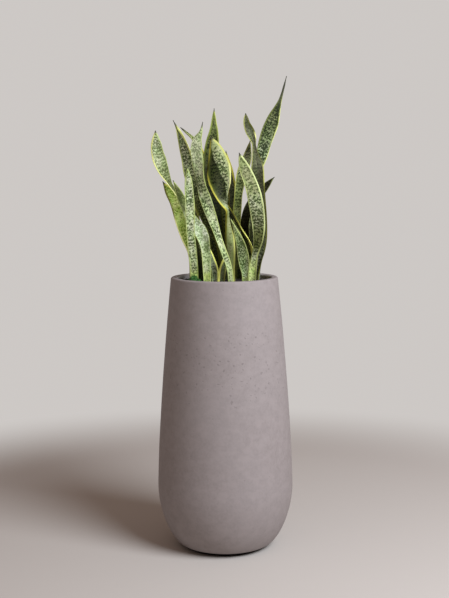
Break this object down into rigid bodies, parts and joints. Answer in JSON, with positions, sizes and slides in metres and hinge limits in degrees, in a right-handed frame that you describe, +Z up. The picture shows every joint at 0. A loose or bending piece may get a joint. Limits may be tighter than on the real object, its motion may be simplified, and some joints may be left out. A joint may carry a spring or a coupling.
{
  "type": "potted snake plant",
  "caption": "Tall round-bellied planter filled to the rim with soil and a clump of upright, banded, yellow-edged sword-shaped leaves",
  "frame": {"origin": "centre of the planter's flat foot, on the floor", "axes": "+Z up; -Y towards the viewer of the plant's best side; +X to that viewer's right"},
  "size_m": [0.4048, 0.4, 1.3788],
  "materials": {
    "planter_fibreclay": "matte warm grey fibreclay with fine pores and faint upright streaks",
    "drainage_granules": "loose expanded clay granules",
    "potting_soil": "dark crumbly soil with a little moss",
    "snake_leaf": "smooth waxy leaf, grey-green with dark cross-bands and yellow margins"
  },
  "bodies": {
    "root": {"planter": "planter_fibreclay", "drainage_layer": "drainage_granules", "potting_soil": "potting_soil", "leaf_01": "snake_leaf", "leaf_02": "snake_leaf", "leaf_03": "snake_leaf", "leaf_04": "snake_leaf", "leaf_05": "snake_leaf", "leaf_06": "snake_leaf", "leaf_07": "snake_leaf", "leaf_08": "snake_leaf", "leaf_09": "snake_leaf", "leaf_10": "snake_leaf", "leaf_11": "snake_leaf", "leaf_12": "snake_leaf", "leaf_13": "snake_leaf", "leaf_14": "snake_leaf", "leaf_15": "snake_leaf", "leaf_16": "snake_leaf", "leaf_17": "snake_leaf", "leaf_18": "snake_leaf", "leaf_19": "snake_leaf", "leaf_20": "snake_leaf", "leaf_21": "snake_leaf", "leaf_22": "snake_leaf", "leaf_23": "snake_leaf", "leaf_24": "snake_leaf", "leaf_25": "snake_leaf", "leaf_26": "snake_leaf", "leaf_27": "snake_leaf"}
  },
  "joints": []
}
